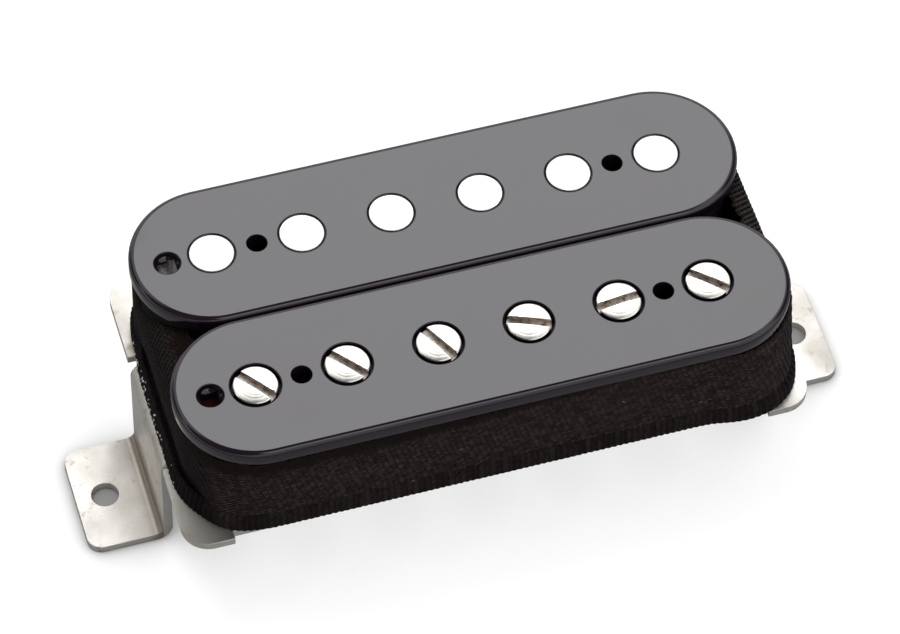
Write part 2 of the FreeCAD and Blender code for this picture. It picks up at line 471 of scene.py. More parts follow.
def mottled(made, stops, scale, bump=0, stretch=(1, 1, 1), **grain):
    """The new material, coloured along the stops by a noise that also raises it by bump metres."""
    material, tree, shader = made
    mottling = noise_node(tree, place_node(tree, stretch=stretch), scale, **grain)
    tree.links.new(blend_colours(tree, mottling, stops), shader.inputs["Base Color"])
    if bump:
        add_bump(tree, shader, mottling, bump)
    return material


def plastic_material():
    """Polished black moulding with a faint unevenness in its gloss."""
    material, tree, shader = new_material("black_plastic", (0.010, 0.006, 0.0115), 0.0, 0.05)
    place = place_node(tree)
    smears = noise_node(tree, place, 90.0)
    feed(tree, shader.inputs["Roughness"], spread_node(tree, smears, 0.35, 0.75, 0.03, 0.09))
    tint = blend_colours(tree, smears, ((0.3, (0.008, 0.0045, 0.0095)), (0.7, (0.012, 0.0065, 0.0135))))
    feed(tree, shader.inputs["Base Color"], tint)
    add_bump(tree, shader, noise_node(tree, place, 500.0, detail=2.0), 0.0000006)
    return material


def plate_material():
    """Rolled nickel silver with brown-gold stains, small pits and fine scratches both ways, and a band of
    painted shade along its bends.
    """
    material, tree, shader = new_material("nickel_silver", (0.68, 0.65, 0.60), 1.0, 0.4)
    place = place_node(tree)
    stains = noise_node(tree, place, 420.0, detail=8.0, roughness=0.7)
    clouds = noise_node(tree, place, 110.0, detail=4.0)
    clean = blend_colours(tree, clouds, ((0.35, (0.60, 0.57, 0.52)), (0.6, (0.76, 0.74, 0.70))))
    # Painted shade: a dark brown band along each bend, darkest where the bend starts and fading outward
    from_middle = math_node(tree, "ABSOLUTE", dot_node(tree, place, (1, 0, 0)))
    fading = spread_node(tree, from_middle, plate_bend_x, plate_bend_x + bend_shade_width, 0.9, 0.0)
    started = spread_node(tree, from_middle, plate_bend_x - bend_shade_edge, plate_bend_x, 0.0, 1.0)
    bend_shade = math_node(tree, "MULTIPLY", fading, started)
    clean = mix_colours(tree, bend_shade, clean, (0.32, 0.27, 0.22))
    tint = mix_colours(tree, spread_node(tree, stains, 0.55, 0.70, 0.0, 0.8), clean, (0.36, 0.29, 0.20))
    feed(tree, shader.inputs["Base Color"], tint)
    feed(tree, shader.inputs["Roughness"], spread_node(tree, clouds, 0.3, 0.7, 0.44, 0.32))
    for stretch in ((1.0, 0.05, 1.0), (0.07, 1.0, 1.0)):
        scratches = noise_node(tree, place_node(tree, stretch=stretch), 5200.0, detail=2.0)
        add_bump(tree, shader, spread_node(tree, scratches, 0.6, 0.75, 0, 1), scratch_depth)
    pits = noise_node(tree, place, 3000.0, detail=1.0)
    add_bump(tree, shader, spread_node(tree, pits, 0.55, 0.7, 0, 1), pit_depth)
    return material


def turned_metal(name, colour, roughness, ring_scale, ring_depth):
    """Bright metal with the fine rings that a lathe leaves, round the piece's own Z axis."""
    material, tree, shader = new_material(name, colour, 1.0, roughness)
    place = place_node(tree)
    rings = add_node(tree, "TexWave", {"Vector": place, "Scale": ring_scale, "Distortion": 1.5},
                     wave_type="RINGS", rings_direction="Z")
    add_bump(tree, shader, rings.outputs["Fac"], ring_depth)
    smears = noise_node(tree, place, 700.0, detail=5.0)
    gloss = spread_node(tree, smears, 0.3, 0.7, roughness * 0.9, roughness * 1.15)
    feed(tree, shader.inputs["Roughness"], gloss)
    worn = [channel * 0.92 for channel in colour]
    feed(tree, shader.inputs["Base Color"], blend_colours(tree, smears, ((0.32, worn), (0.5, colour))))
    return material


def slot_material():
    """Sawn slot, mottled darker and browner than the head's metal: painted shade in the slot."""
    # Painted shade: dark brown to pale mottling stands in for the shade inside the slot
    stops = ((0.34, (0.14, 0.10, 0.08)), (0.46, (0.52, 0.45, 0.39)), (0.68, (0.74, 0.69, 0.63)))
    made = new_material("sawn_slot", (0.58, 0.52, 0.46), 1.0, 0.45)
    return mottled(made, stops, 1800.0, 0.00003, detail=5.0)


def woven_threads(tree, flat_place, thread_length, rib_width, light, dark):
    """Threads in slanted rows that stray a little, two shades of them with dark gaps between."""
    wander = noise_node(tree, flat_place, 0.9, detail=3.0, roughness=0.5, result="Color")
    strayed = vector_node(tree, "MULTIPLY_ADD", wander, thread_stray, flat_place)
    woven_place = add_node(tree, "CombineXYZ", {
        "X": dot_node(tree, strayed, (-row_slant * thread_squeeze, thread_squeeze, 0)),
        "Y": dot_node(tree, strayed, (1, 0, 0)),
    })
    return add_node(tree, "TexBrick", {
        "Vector": woven_place.outputs[0],
        "Scale": 1.0,
        "Mortar Size": thread_gap * per_millimetre / 2,
        "Mortar Smooth": 1.0,
        "Brick Width": thread_length * thread_squeeze * per_millimetre,
        "Row Height": rib_width * per_millimetre,
        "Color1": (*light, 1),
        "Color2": (*[channel * 0.45 for channel in light], 1),
        "Mortar": (*dark, 1),
    })


def painted_rib_highlights(tree, flat_place, across, rib_width, light, dark):
    """Painted highlights: ribs as lighter stripes on their crests, weaker towards the left end."""
    turn = dot_node(tree, flat_place, (2 * math.pi / (rib_width * per_millimetre), 0, 0))
    crests = spread_node(tree, math_node(tree, "COSINE", turn), -0.6, 0.9, 0, 1)
    strength = spread_node(tree, across, -rib_highlights_from, rib_highlights_from, left_rib_highlight, 1)
    highlight_colour = tuple(channel * share for channel, share in zip(light, rib_highlight_tint))
    return mix_colours(tree, math_node(tree, "MULTIPLY", crests, strength), dark, highlight_colour)


def soak_and_shadow_share(tree, flat_place, across):
    """How much wax soak and painted shadow of the flange the cloth's colour gets: most at its upper edge, and
    further down towards the left.
    """
    reach = spread_node(tree, across, -soak_and_shade_spread, soak_and_shade_spread, soak_and_shade_most, soak_and_shade_least)
    climbed = dot_node(tree, flat_place, (0, 1, 0))
    level = math_node(tree, "MULTIPLY_ADD", reach, per_millimetre, climbed)
    wavy = math_node(tree, "MULTIPLY_ADD", noise_node(tree, flat_place, 0.4, detail=3.0), 1.2, level)
    upper_edge = tape_height * per_millimetre
    return spread_node(tree, wavy, upper_edge, upper_edge + 1.5, 0.0, 0.9)


def cloth_material(name, thread_length, rib_width, light, dark):
    """Black rayon cloth: threads in black dye over ribs with painted highlights at both ends, brown and
    smooth where wax soaked the upper edge, and darker there from a painted shadow of the flange.
    """
    material, tree, shader = new_material(name, light, 0.0, 0.75)
    flat_place = place_node(tree, "UV", (per_millimetre, per_millimetre, 1))
    across = dot_node(tree, place_node(tree), (1, 0, 0))
    weave = woven_threads(tree, flat_place, thread_length, rib_width, light, dark)
    fade = noise_node(tree, flat_place, 1.6, detail=6.0, roughness=0.75)
    thread_colour = mix_colours(tree, spread_node(tree, fade, 0.36, 0.56, 0.6, 0.0), weave.outputs["Color"], dark)
    from_middle = math_node(tree, "ABSOLUTE", across)
    # Painted highlights on the rib crests towards both ends of the tape
    highlit_ends = spread_node(tree, from_middle, rib_highlights_from, rib_highlights_from + 0.002, 0, 0.8)
    thread_colour = mix_colours(tree, highlit_ends, thread_colour, painted_rib_highlights(tree, flat_place, across, rib_width, light, dark))
    # Wax soak and painted shadow of the flange along the upper edge
    tint = mix_colours(tree, soak_and_shadow_share(tree, flat_place, across), thread_colour, soaked_and_shaded_colour)
    feed(tree, shader.inputs["Base Color"], tint)
    shader.inputs["Sheen Weight"].default_value = 0.004
    shader.inputs["Sheen Roughness"].default_value = 0.4
    shader.inputs["Specular IOR Level"].default_value = 0.05
    add_bump(tree, shader, weave.outputs["Fac"], -0.00005)
    add_bump(tree, shader, noise_node(tree, place_node(tree), 9000.0, detail=2.0), 0.00001)
    return material


def lint_material():
    stops = ((0.35, (0.20, 0.18, 0.16)), (0.65, (0.50, 0.48, 0.45)))
    return mottled(new_material("lint", (0.62, 0.58, 0.52), 0.0, 0.9), stops, 900.0)


def wax_material():
    """Crumbs of pale potting wax."""
    stops = ((0.35, (0.25, 0.22, 0.18)), (0.65, (0.62, 0.60, 0.55)))
    return mottled(new_material("potting_wax", (0.55, 0.52, 0.46), 0.0, 0.5), stops, 1500.0, 0.00004)


def clouded_wax_material():
    """Thin grey wax that fills the slug side's window, streaked by the wires below."""
    stops = ((0.38, (0.03, 0.027, 0.029)), (0.62, (0.17, 0.16, 0.165)))
    made = new_material("clouded_wax", (0.09, 0.08, 0.085), 0.0, 0.3)
    return mottled(made, stops, 2600.0, 0.00004, stretch=(1.0, 0.15, 1.0))


def wire_material():
    """Enamelled copper, darker where the enamel lies thick, and painted very dark all over as the shade
    inside the bobbins' windows.
    """
    made = new_material("enamelled_copper", (0.16, 0.035, 0.022), 0.4, 0.3)
    shader = made[2]
    shader.inputs["Coat Weight"].default_value = 0.5
    shader.inputs["Coat Roughness"].default_value = 0.15
    # Painted shade: the mottling runs from near black to dark copper
    return mottled(made, ((0.3, (0.006, 0.002, 0.002)), (0.65, (0.034, 0.008, 0.007))), 1200.0)


def steel_material():
    """Cold-rolled bar with lengthwise grain and a few dark spots."""
    stops = ((0.28, (0.22, 0.17, 0.13)), (0.42, (0.48, 0.48, 0.49)))
    made = new_material("rolled_steel", (0.5, 0.5, 0.51), 1.0, 0.35)
    material, tree, shader = made
    grain = noise_node(tree, place_node(tree, stretch=(0.05, 1, 1)), 3000.0)
    add_bump(tree, shader, grain, 0.00001)
    return mottled(made, stops, 600.0, detail=6.0)


def magnet_material():
    """Cast magnet alloy: dark grey with a coarse sandy skin."""
    stops = ((0.3, (0.12, 0.115, 0.11)), (0.7, (0.34, 0.33, 0.31)))
    made = new_material("magnet_alloy", (0.24, 0.23, 0.22), 0.8, 0.55)
    return mottled(made, stops, 2200.0, 0.00008, detail=6.0, roughness=0.7)


def maple_material():
    """Bare maple with its grain along the strip."""
    stops = ((0.3, (0.40, 0.25, 0.13)), (0.5, (0.62, 0.44, 0.26)), (0.7, (0.72, 0.55, 0.35)))
    made = new_material("bare_maple", (0.62, 0.44, 0.26), 0.0, 0.6)
    return mottled(made, stops, 1400.0, 0.00003, stretch=(0.06, 1, 1), detail=6.0)


# Pieces

def fixing_places(row_y):
    places = []
    for number in range(len(base_slot_angles)):
        low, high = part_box(f"base_screw_{number + 1}")
        if abs((low.y + high.y) / 2 - row_y) < head_radius:
            places.append((low.x + high.x) / 2)
    return places


def hole(bm, x, y, levels):
    """Wall of a round hole through (radius, z) levels from the top down."""
    loops = [ring(bm, x, y, z, radius) for radius, z in levels]
    join_loops(bm, loops)
    return loops[0], loops[-1]


def rimmed(radius, depth, rim=hole_rim):
    """Levels of a hole's wall with a slightly rounded rim, from the bobbin's top down by depth."""
    levels = [(radius + rim + rim_guard, bobbin_top)]
    levels += [(radius + inset, bobbin_top - drop) for inset, drop in quarter_round(rim, 4)]
    return levels + [(radius, bobbin_top - depth)]


def fixing_hole():
    """Levels of a screw hole with the ridges that its screw cut in the wall."""
    levels = rimmed(fixing_hole_radius, 2 * cut_thread_pitch, fixing_hole_rim)
    ridges = int((bobbin_top - bobbin_floor) / cut_thread_pitch) - 2
    for ridge in range(ridges):
        z = levels[-1][1]
        levels.append((fixing_hole_radius + cut_thread_depth, z - cut_thread_pitch / 2))
        levels.append((fixing_hole_radius, z - cut_thread_pitch))
    return levels[:-1] + [(fixing_hole_radius, bobbin_floor)]


def window(bm, y, flange_bottom):
    """Round recess with a square hole in its floor that shows the winding."""
    rim, floor = hole(bm, window_x, y, rimmed(window_radius, window_depth))
    upper = square(bm, window_x, y, bobbin_top - window_depth - window_dish, window_square / 2)
    lower = square(bm, window_x, y, flange_bottom, window_square / 2)
    fill_between(bm, [floor, upper])
    join_loops(bm, [upper, lower])
    return rim, lower


def bobbin(name, node, row_y, pole_levels, plastic):
    """Moulding with rounded flange edges, a core, and holes that go right through it."""
    bm = bmesh.new()
    flange_bottom = bobbin_top - top_flange_thickness
    lower_top = bobbin_floor + bottom_flange_thickness
    edge = [(top_edge_radius + rim_guard, bobbin_top)]
    for inset, drop in quarter_round(top_edge_radius):
        edge.append((inset, bobbin_top - drop))
    for inset, drop in reversed(quarter_round(lower_edge_radius, 4)):
        edge.append((inset, flange_bottom + drop))
    flange = stadiums(bm, bobbin_half_length, bobbin_half_width, row_y, edge)
    core_half_length = bobbin_half_length - core_end_inset
    core = stadiums(bm, core_half_length, core_half_width, row_y, [(0, flange_bottom), (0, lower_top)])
    lower_edge = [(bottom_flange_inset, lower_top), (bottom_flange_inset, bobbin_floor)]
    lower = stadiums(bm, bobbin_half_length, bobbin_half_width, row_y, lower_edge)
    for loops in (flange, core, lower):
        join_loops(bm, loops)

    holes = [hole(bm, x, row_y, pole_levels) for x in pole_places]
    holes += [hole(bm, x, row_y, fixing_hole()) for x in fixing_places(row_y)]
    rims = [rim for rim, end in holes]
    ends = [end for rim, end in holes]
    window_rim, window_end = window(bm, row_y, flange_bottom)

    fill_between(bm, [flange[0], *rims, window_rim])
    fill_between(bm, [flange[-1], core[0], window_end])
    fill_between(bm, [lower[0], core[1]])
    fill_between(bm, [lower[1], *ends])
    stand_for(new_object(name, bm, plastic), "pickup", "bobbin_plastic", node)


def add_bobbins(plastic):
    slug_levels = rimmed(slug_hole_radius, bobbin_top - bobbin_floor, slug_hole_rim)
    bobbin("slug_side_bobbin", "slug_bobbin", slug_row_y, slug_levels, plastic)
    shoulder = bobbin_top - counterbore_depth
    screw_levels = rimmed(counterbore_radius, counterbore_depth)
    screw_levels += [(shank_hole_radius, shoulder), (shank_hole_radius, bobbin_floor)]
    bobbin("screw_side_bobbin", "screw_bobbin", screw_row_y, screw_levels, plastic)


def add_slugs(metal):
    rounding = quarter_round(slug_edge, 4)
    for number, (low, high) in enumerate(slug_boxes, 1):
        radius = (high.x - low.x) / 2
        profile = [(radius - inset, low.z + drop) for inset, drop in rounding]
        profile += [(radius - inset, high.z - drop) for inset, drop in reversed(rounding)]
        bm = bmesh.new()
        lathe(bm, profile)
        piece = new_object(f"slug_pole_{number}", bm, metal)
        piece.location = (pole_places[number - 1], slug_row_y, 0)
        keep_flats_flat(piece)
        stand_for(piece, "pickup", "slug_steel", f"slug_{number}")


def thread(bm, radius, depth, pitch, low, high, steps=32, rows_a_turn=6):
    """Closed rod whose surface rises and falls along a helix."""
    rows = round((high - low) / pitch * rows_a_turn)
    loops = []
    for row in range(rows + 1):
        z = low + (high - low) * row / rows
        taper = max(0, 1 - (z - low) / pitch)
        loop = []
        for step in range(steps):
            share = step / steps
            phase = (z / pitch - share) % 1
            crest = min(1, 1.35 * abs(2 * phase - 1))
            reach = radius - depth * (1 - crest) - depth * taper * crest
            turn = 2 * math.pi * share
            loop.append(bm.verts.new((reach * math.cos(turn), reach * math.sin(turn), z)))
        loops.append(loop)
    closed_skin(bm, loops)


def head_profile(radius, height, dome, edge, dome_rings=12):
    """Half outline of a screw head from its underside to the middle of its dome."""
    profile = [(radius - edge, 0), (radius, edge)]
    side_top = height - dome
    profile += [(radius - inset, side_top - edge + drop) for inset, drop in
                [(0, 0), (edge * 0.1, edge * 0.6), (edge * 0.5, edge)]]
    for step in range(1, dome_rings + 1):
        share = 1 - step / (dome_rings + 1)
        profile.append(((radius - edge) * share, height - dome * share ** 2))
    return profile


def slotted_head(name, profile, slot_width, slot_depth, angle, metal, slot_shade):
    """Turned head with a slot cut across its top and the slot's edges slightly broken."""
    bm = bmesh.new()
    lathe(bm, profile)
    head = new_object(name, bm, metal, slot_shade)
    top = max(z for radius, z in profile)
    reach = 2 * max(radius for radius, z in profile)
    cutter_bm = bmesh.new()
    bmesh.ops.create_cube(cutter_bm, size=1)
    bmesh.ops.scale(cutter_bm, vec=(reach * 2, slot_width, slot_depth * 2), verts=cutter_bm.verts)
    turn = Matrix.Rotation(math.radians(angle), 3, "Z")
    bmesh.ops.rotate(cutter_bm, cent=(0, 0, 0), matrix=turn, verts=cutter_bm.verts)
    bmesh.ops.translate(cutter_bm, vec=(0, 0, top), verts=cutter_bm.verts)
    cutter = new_object(f"{name}_cutter", cutter_bm, metal, slot_shade)
    # The slot's faces take the second material, which holds the slot's painted shade
    for polygon in cutter.data.polygons:
        polygon.material_index = 1
    cut = head.modifiers.new("slot", "BOOLEAN")
    cut.operation = "DIFFERENCE"
    cut.solver = "EXACT"
    cut.object = cutter
    burr = head.modifiers.new("broken_edges", "BEVEL")
    burr.width = slot_burr
    burr.segments = 2
    burr.angle_limit = math.radians(40)
    settle(head)
    bpy.data.objects.remove(cutter)
    return head


def settle(piece):
    """Puts what the modifiers make into the mesh itself."""
    graph = bpy.context.evaluated_depsgraph_get()
    made = bpy.data.meshes.new_from_object(piece.evaluated_get(graph))
    piece.modifiers.clear()
    piece.data = made


def join_into(piece, bm):
    """Adds the bmesh to the piece's mesh."""
    extra = bpy.data.meshes.new("extra")
    bm.to_mesh(extra)
    bm.free()
    whole = bmesh.new()
    whole.from_mesh(piece.data)
    whole.from_mesh(extra)
    whole.to_mesh(piece.data)
    whole.free()
    piece.data.shade_smooth()
    piece.data.set_sharp_from_angle(angle=math.radians(edge_angle))
    bpy.data.meshes.remove(extra)


def slotted_screw(name, profile, slot, shank, metal, slot_shade):
    """Slotted head with a threaded shank below it. slot is its width, depth and angle, and shank is
    its radius, thread depth, pitch and length."""
    head = slotted_head(name, profile, *slot, metal, slot_shade)
    radius, depth, pitch, length = shank
    bm = bmesh.new()
    thread(bm, radius, depth, pitch, -length, shank_overlap)
    bmesh.ops.recalc_face_normals(bm, faces=bm.faces)
    join_into(head, bm)
    return head


def add_pole_screws(metal, slot_shade):
    profile = head_profile(head_radius, head_height, dome_height, head_edge)
    for number, (x, slot_angle) in enumerate(zip(pole_places, slot_angles), 1):
        node = f"pole_screw_{number}"
        low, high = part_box(node)
        slot = (screw_slot_width, screw_slot_depth, slot_angle)
        shank = (shank_hole_radius - pole_shank_play, thread_depth, pole_thread_pitch,
                 high.z - low.z - head_height)
        screw = slotted_screw(f"adjusting_screw_{number}", profile, slot, shank, metal, slot_shade)
        screw.location = (x, screw_row_y, high.z - head_height)
        stand_for(screw, f"{node}_body", "screw_steel", node)


def add_base_screws(metal, slot_shade):
    profile = head_profile(base_head_radius, base_head_height, base_dome_height, head_edge)
    for number, slot_angle in enumerate(base_slot_angles, 1):
        node = f"base_screw_{number}"
        low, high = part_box(node)
        slot = (base_slot_width, base_slot_depth, slot_angle)
        shank = (fixing_hole_radius - base_shank_play, base_thread_depth, base_thread_pitch,
                 high.z - low.z - base_head_height)
        screw = slotted_screw(f"bobbin_screw_{number}", profile, slot, shank, metal, slot_shade)
        screw.data.transform(Matrix.Rotation(math.pi, 4, "X"))
        screw.location = ((low.x + high.x) / 2, (low.y + high.y) / 2, low.z + base_head_height)
        stand_for(screw, "pickup", "screw_brass", node)


def soft_step(value):
    held = min(1, max(0, value))
    return held * held * (3 - 2 * held)


def soft_ramp(value, start, length):
    """0 up to start, 1 from length beyond it, and smooth between."""
    return soft_step((value - start) / length)


def tape_length(half_length, half_width, radius):
    return 4 * (half_length + half_width - 2 * radius) + 2 * math.pi * radius


def tape_point(distance, half_length, half_width, radius):
    """Place and outward direction on the rounded outline round both bobbins, from its rear corner."""
    quarter = radius * math.pi / 2
    straight_x = 2 * (half_length - radius)
    straight_y = 2 * (half_width - radius)
    turn = math.pi / 2
    for straight in (straight_x, straight_y, straight_x, straight_y):
        outward = Vector((math.cos(turn), math.sin(turn), 0))
        along = Vector((-math.sin(turn), math.cos(turn), 0))
        corner = Vector((math.copysign(half_length - radius, math.cos(turn + math.pi / 4)),
                         math.copysign(half_width - radius, math.sin(turn + math.pi / 4)), 0))
        if distance <= straight:
            return corner + outward * radius - along * (straight - distance), outward
        distance -= straight
        if distance <= quarter:
            swept = turn + distance / radius
            direction = Vector((math.cos(swept), math.sin(swept), 0))
            return corner + direction * radius, direction
        distance -= quarter
        turn += math.pi / 2
    return corner + Vector((0, radius, 0)), Vector((0, 1, 0))


def stands_off(place):
    """How far the cloth stands off its bobbins here."""
    off = 0
    for x, y, reach, amount in slack_places:
        away = math.hypot(place.x - x, place.y - y)
        off += amount * (1 - soft_step(away / reach))
    return off


def cloth_band(name, node, pitch, leans, thickness, fold, relief, material):
    """Endless band of cloth. fold gives its inset, height and tilt, and relief its threads, which
    lean by the first of leans, or at the left end by the second."""
    low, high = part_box(node)
    height = high.z - low.z
    half_length = high.x - rib_depth
    half_width = high.y - rib_depth
    radius = half_width - slug_row_y
    length = tape_length(half_length, half_width, radius)
    ribs = 2 * round(length / pitch / 2)
    columns = ribs * columns_a_rib
    rows = round(height / row_pitch * rows_a_thread)
    upward = Vector((0, 0, 1))
    bm = bmesh.new()
    cloth_uv = bm.loops.layers.uv.new("cloth")
    flat_places = []
    outer = []
    inner = []
    for row in range(rows + 1):
        backed = row % rows_a_thread == 0 or row == rows
        outside = []
        inside = []
        for column in range(columns):
            distance = length * column / columns
            place, outward = tape_point(distance, half_length, half_width, radius)
            inset, climbed, tilt = fold(place, distance, row / rows, height)
            at_left = left_end(place)
            leant = distance + (leans[0] * (1 - at_left) + leans[1] * at_left) * row / rows * height
            facing = outward * math.cos(tilt) + upward * math.sin(tilt)
            middle = place - outward * inset + upward * (low.z + climbed)
            raised = relief(leant / pitch, distance, place, row / rows * height, height)
            outside.append(bm.verts.new(middle + facing * raised))
            flat_places.append((leant, row / rows * height))
            if backed:
                inside.append(bm.verts.new(middle - facing * thickness))
                flat_places.append((leant, row / rows * height))
        outer.append(outside)
        if backed:
            inner.append(inside)
    join_loops(bm, [*outer, *reversed(inner), outer[0]])
    bm.verts.index_update()
    for face in bm.faces:
        at = [flat_places[corner.vert.index] for corner in face.loops]
        crosses_seam = max(at)[0] - min(at)[0] > length / 2
        for corner, (distance, climbed) in zip(face.loops, at):
            if crosses_seam and distance < length / 2:
                distance += length
            corner[cloth_uv].uv = (distance, climbed)
    return new_object(name, bm, material)


def left_end(place):
    """1 along the left end, where the strip's foot flares out, and 0 away from it."""
    within = soft_ramp(place.y, *left_end_in_y) * (1 - soft_ramp(place.y, *left_end_out_y))
    return soft_ramp(-place.x, *left_end_in_x) * within


def main_fold(place, distance, share, height):
    """Upright cloth whose top folds in where no flange holds it, between the bobbins' round ends."""
    ragged = 0.5 + noise.noise(Vector((distance * 2300, 0.5, 0)))
    ragged += 0.5 * noise.noise(Vector((distance * 7000, 1.5, 0)))
    start, spare, radius, most_tilt = left_hem if place.x < 0 else right_hem
    free = soft_ramp(abs(place.x), *hem_in_x) * (1 - soft_ramp(abs(place.y), *hem_out_y))
    climbed = share * (height + spare * free - hem_ragged * max(0, ragged))
    hem = max(0, climbed - (height - start))
    tilt = min(hem / radius, free * most_tilt)
    beyond_bend = hem - radius * tilt
    off = stands_off(place) * (1 - slack_narrowing * share)
    valley = soft_ramp(climbed, *valley_in) * (1 - soft_ramp(climbed, *valley_out))
    inset = radius * (1 - math.cos(tilt)) + beyond_bend * math.sin(tilt) - off
    inset += strip_valley * left_end(place) * valley
    return inset, climbed - hem + radius * math.sin(tilt) + beyond_bend * math.cos(tilt), tilt


def main_relief(rib, distance, place, climbed, height):
    """Short threads staggered over upright ribs, slack waves, and the lap where the tape ends."""
    column = round(rib)
    across = math.cos(math.pi * (rib - column)) ** 2
    row = (climbed - row_slant * distance) / row_pitch + 0.5 * (column % 2)
    along = 0.5 + 0.5 * math.cos(2 * math.pi * row)
    at_left = 1 - soft_step((place.x + soak_and_shade_spread) / (2 * soak_and_shade_spread))
    soaked = soak_and_shade_least + (soak_and_shade_most - soak_and_shade_least) * at_left
    smoothed = soft_step((climbed - height + soaked) / soak_and_shade_least)
    raised = rib_depth * across * (0.35 + 0.65 * along) * (1 - 0.8 * smoothed)
    slack = noise.noise(Vector((distance, climbed, 0)) / slack_length)
    raised -= slack_depth * (0.5 + 0.5 * slack)
    past_lap = distance - lap_place
    if 0 < past_lap < lap_length:
        raised += lap_step * (1 - soft_step(past_lap / lap_length))
    return raised


def strip_fold(place, distance, share, height):
    """Strip that closes on the tape, but stands open at the left end."""
    ragged = 0.5 + noise.noise(Vector((distance * 1800, 2.5, 0)))
    climbed = share * (height - strip_ragged * max(0, ragged))
    at_left = left_end(place)
    closed = (1 - at_left) * soft_ramp(share, *strip_closes) * strip_closing
    flare = strip_flare * at_left * (1 - share)
    off = stands_off(place) * (1 - slack_narrowing * climbed / tape_height)
    return closed - off - flare, climbed, 0


def strip_relief(rib, distance, place, climbed, height):
    """Coarser upright ribs of uneven strength."""
    ribs = abs(math.cos(math.pi * rib))
    rows = 0.5 + 0.5 * math.cos(2 * math.pi * climbed / row_pitch)
    uneven = noise.noise(Vector((rib * 0.7, climbed / slack_length, 3.5)))
    return strip_rib_depth * (ribs - 1) * (0.8 + 0.5 * uneven) + 0.15 * rib_depth * rows


def coil_wrap(name, node, row_y, cloth):
    """Black wrap round one coil, seen only in the pockets between the bobbins' round ends."""
    low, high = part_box(node)
    half_width = (high.y - low.y) / 2
    bm = bmesh.new()
    sides = ((0, low.z), (0, high.z), (wrap_thickness, high.z), (wrap_thickness, low.z))
    loops = stadiums(bm, high.x, half_width, row_y, sides)
    join_loops(bm, [*loops, loops[0]])
    wrap = new_object(name, bm, cloth)
    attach(wrap, "pickup")
    return wrap


def add_tapes():
    cloth = cloth_material("cloth_tape", row_pitch, rib_pitch, cloth_light, cloth_dark)
    strip_cloth = cloth_material("cloth_strip", strip_thread_length, strip_rib_pitch, strip_light, strip_dark)
    main = cloth_band("cloth_tape_main", "outer_tape", rib_pitch, (rib_lean, left_rib_lean), cloth_thickness,
                      main_fold, main_relief, cloth)
    stand_for(main, "pickup", "cloth_tape", "outer_tape")
    base = cloth_band("cloth_tape_base", "base_tape", strip_rib_pitch, (0, 0), strip_thickness,
                      strip_fold, strip_relief, strip_cloth)
    stand_for(base, "pickup", "cloth_tape", "base_tape")
    wraps = [coil_wrap("slug_coil_wrap", "slug_coil", slug_row_y, strip_cloth),
             coil_wrap("screw_coil_wrap", "screw_coil", screw_row_y, strip_cloth)]


def add_lint():
    """White fibres caught on the front of the cloth."""
    bm = bmesh.new()
    steps = 6
    for x, z in lint_places:
        lean = random.uniform(-lint_lean, lint_lean)
        bow = random.uniform(-lint_bow, lint_bow)
        loops = []
        for step in range(steps + 1):
            share = step / steps
            run = lint_length * (share - 0.5)
            arch = lint_length * bow * math.sin(math.pi * share)
            centre = Vector((x + run * math.cos(lean) - arch * math.sin(lean), tape_low.y - lint_radius,
                             z + run * math.sin(lean) + arch * math.cos(lean)))
            side = lint_radius * (0.5 + 0.5 * math.sin(math.pi * share))
            loop = []
            for corner in range(6):
                turn = math.pi * corner / 3
                out = math.cos(turn)
                away = Vector((-math.sin(lean) * out, math.sin(turn), math.cos(lean) * out))
                loop.append(bm.verts.new(centre + away * side))
            loops.append(loop)
        closed_skin(bm, loops)
    lint = new_object("lint", bm, lint_material())
    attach(lint, "pickup")


def add_wax_specks():
    """Crumbs of wax on the foot of the strip at the left end."""
    low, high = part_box("base_tape")
    bm = bmesh.new()
    for speck in range(wax_speck_count):
        y = random.triangular(*wax_speck_spread)
        up = 0.7 * random.random() ** 2
        flare = strip_flare * left_end(Vector((low.x, y, 0))) * (1 - up)
        x = low.x + rib_depth - flare
        z = low.z + up * (high.z - low.z)
        radius = wax_speck_radius * random.uniform(0.35, 1.0)
        made = bmesh.ops.create_icosphere(bm, subdivisions=2, radius=radius)
        for vert in made["verts"]:
            rough = noise.noise(vert.co * 6000 + Vector((speck, 0, 0)))
            vert.co = vert.co * (1 + 0.45 * rough)
            vert.co.y *= 1.5
            vert.co += Vector((x, y, z))
    specks = new_object("wax_crumbs", bm, wax_material())
    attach(specks, "pickup")


def add_window_wax():
    """Wax in the slug side's window, with a dent towards one corner."""
    top = bobbin_top - window_depth - window_wax_drop
    steps = 16
    half = window_square / 2
    bm = bmesh.new()
    rows = []
    for row in range(steps + 1):
        line = []
        for column in range(steps + 1):
            across = (2 * column / steps - 1) * half
            along = (2 * row / steps - 1) * half
            dent = soft_step((along - 0.1 * half) / (0.3 * half))
            dent *= soft_step((0.35 * half - across) / (0.3 * half))
            lump = noise.noise(Vector((across, along, 0)) * 1800)
            z = top - window_wax_dent * dent + window_wax_lumps * lump
            line.append(bm.verts.new((window_x + across, slug_row_y + along, z)))
        rows.append(line)
    for low, high in zip(rows, rows[1:]):
        for index in range(steps):
            bm.faces.new((low[index], low[index + 1], high[index + 1], high[index]))
    bmesh.ops.solidify(bm, geom=bm.faces[:], thickness=-window_wax_thickness)
    wax = new_object("window_wax", bm, clouded_wax_material())
    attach(wax, "pickup")


